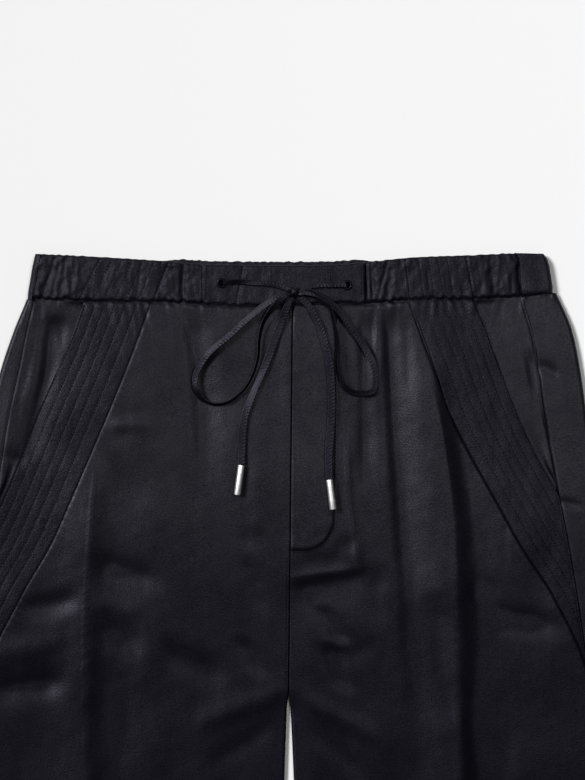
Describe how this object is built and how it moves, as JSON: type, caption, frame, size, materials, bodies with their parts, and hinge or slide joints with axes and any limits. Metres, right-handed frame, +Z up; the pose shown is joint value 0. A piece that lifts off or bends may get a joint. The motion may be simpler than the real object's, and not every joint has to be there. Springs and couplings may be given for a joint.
{
  "type": "satin drawstring trousers, laid flat",
  "caption": "Long wide-legged satin trousers laid flat, with a gathered waist casing, a drawstring tied in a bow, a mock fly and stitched pocket bands.",
  "frame": {"origin": "on the surface the trousers lie on, under the middle of the laid garment", "axes": "+Z up from the surface, +Y towards the waist, +X towards the wearer's left side"},
  "size_m": [0.506, 1.04, 0.0164],
  "materials": {
    "satin": "satin",
    "cord": "satin",
    "steel": "polished",
    "dark_metal": "satin"
  },
  "bodies": {
    "root": {"front_left": "satin", "front_right": "satin", "back_left": "satin", "back_right": "satin", "pocket_band_left": "satin", "pocket_band_right": "satin", "pocket_facing_left": "satin", "pocket_facing_right": "satin", "waist_left": "satin", "waist_right": "satin", "waist_back": "satin", "waist_centre": "satin", "mock_fly": "satin", "eyelet_left": "dark_metal", "eyelet_right": "dark_metal", "cord_lead_left": "cord", "cord_lead_right": "cord", "cord_loop_left": "cord", "cord_loop_right": "cord", "cord_tail_left": "cord", "cord_tail_right": "cord", "cord_knot": "cord", "cord_tip_left": "steel", "cord_tip_right": "steel"}
  },
  "joints": []
}
